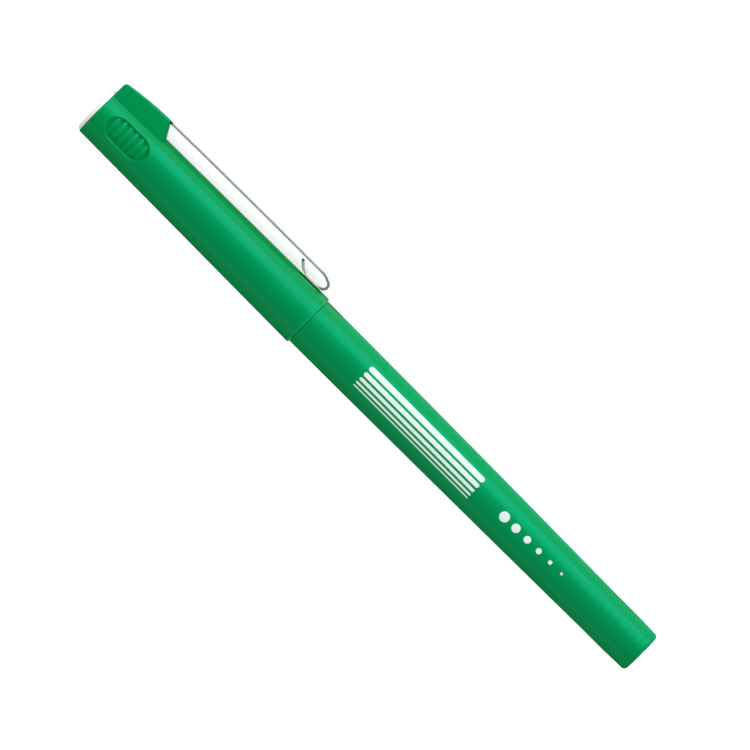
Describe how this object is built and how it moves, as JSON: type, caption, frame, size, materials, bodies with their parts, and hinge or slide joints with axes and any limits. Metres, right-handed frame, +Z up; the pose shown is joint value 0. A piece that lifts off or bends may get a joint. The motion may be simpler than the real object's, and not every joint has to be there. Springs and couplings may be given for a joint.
{
  "type": "fineliner pen",
  "caption": "Capped fineliner pen: tapered plastic barrel, push-on cap with ribbed finger recesses and a rolled steel pocket clip, fibre ink store and fine nib.",
  "frame": {"origin": "centre of the tail face, on the pen's axis", "axes": "+X along the pen's axis from the tail towards the cap and the nib; +Z up, with the pen lying on a table on its cap's mouth and on the edge of the boss that holds the clip; the clip points towards -Y and about 17 degrees down"},
  "size_m": [0.139, 0.014, 0.0108],
  "materials": {
    "green_plastic": "satin",
    "white_plastic": "satin",
    "section_plastic": "satin",
    "liner_plastic": "matte",
    "spring_steel": "satin",
    "nib_plastic": "matte",
    "ink_fibre": "matte",
    "wrap_film": "gloss"
  },
  "bodies": {
    "pen": {"barrel": "green_plastic", "end_plug": "green_plastic", "front_section": "section_plastic", "nib_sleeve": "spring_steel", "nib": "nib_plastic", "ink_feed": "ink_fibre", "ink_reservoir": "ink_fibre", "reservoir_wrap": "wrap_film"},
    "cap": {"cap_shell": "green_plastic", "cap_crown": "white_plastic", "inner_cap": "liner_plastic"},
    "clip": {"pocket_clip": "spring_steel"}
  },
  "joints": [
    {"name": "cap_slide", "type": "slide", "parent": "pen", "child": "cap", "axis": [1, 0, 0], "range_m": [0, 0.05]},
    {"name": "clip_flex", "type": "hinge", "parent": "cap", "child": "clip", "pos_m": [0.13697, -0.00669, -0.00204], "axis": [0, -0.2916, 0.9565], "range_deg": [0, 5], "stiffness_Nm_per_rad": 0.5, "springref_deg": -1.15}
  ]
}
